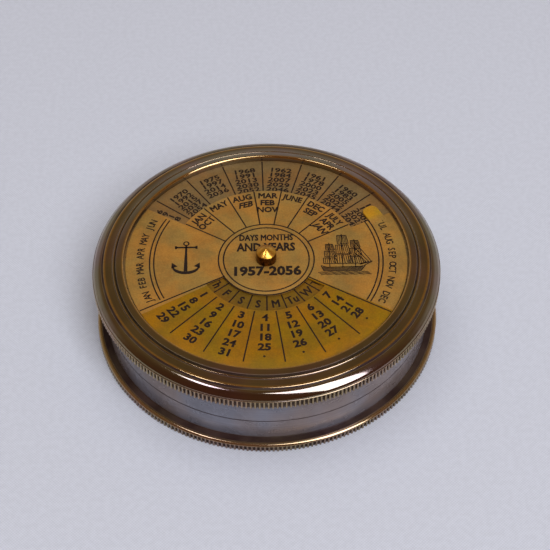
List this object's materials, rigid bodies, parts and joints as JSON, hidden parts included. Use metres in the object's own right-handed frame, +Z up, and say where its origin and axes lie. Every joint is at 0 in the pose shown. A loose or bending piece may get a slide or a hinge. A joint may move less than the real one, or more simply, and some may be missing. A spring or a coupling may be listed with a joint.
{
  "type": "perpetual desk calendar",
  "caption": "Round turned brass box with a reeded screw lid that carries a rotating perpetual calendar dial, and a magnetic compass under glass in the base.",
  "frame": {"origin": "centre of the underside of the foot, on the surface the box stands on", "axes": "+Z up along the axis of the box, +Y from the centre towards the year window, +X to the reader's right"},
  "size_m": [0.0752, 0.0752, 0.0218],
  "materials": {
    "aged_brass": "antiqued, polished over brown patina",
    "polished_brass": "polished",
    "etched_brass_plate": "brushed and lacquered, dark filled markings",
    "spring_steel": "ground",
    "compass_glass": "clear",
    "painted_needle": "gloss paint, one half red and one half white",
    "jewel_stone": "polished stone"
  },
  "bodies": {
    "base": {"base_cup": "aged_brass", "compass_card": "etched_brass_plate", "pivot_seat": "polished_brass", "pivot_pin": "spring_steel", "spacer_ring": "polished_brass", "compass_glass": "compass_glass", "glass_ring": "polished_brass"},
    "needle": {"needle_blade": "painted_needle", "needle_hub": "polished_brass", "needle_jewel": "jewel_stone"},
    "lid": {"lid_cap": "aged_brass", "dial_ring": "aged_brass", "year_plate": "etched_brass_plate", "spindle_bush": "polished_brass"},
    "date_dial": {"date_plate": "etched_brass_plate", "turning_knob": "polished_brass", "spindle": "polished_brass", "spring_washer": "spring_steel", "flat_washer": "polished_brass", "spindle_nut": "polished_brass"}
  },
  "joints": [
    {"name": "lid_lift", "type": "slide", "parent": "base", "child": "lid", "axis": [0, 0, 1], "range_m": [0, 0.03]},
    {"name": "dial_turn", "type": "hinge", "parent": "lid", "child": "date_dial", "pos_m": [0, 0, 0.018], "axis": [0, 0, 1], "continuous": true},
    {"name": "needle_swing", "type": "hinge", "parent": "base", "child": "needle", "pos_m": [0, 0, 0.0053], "axis": [0, 0, 1], "continuous": true}
  ]
}
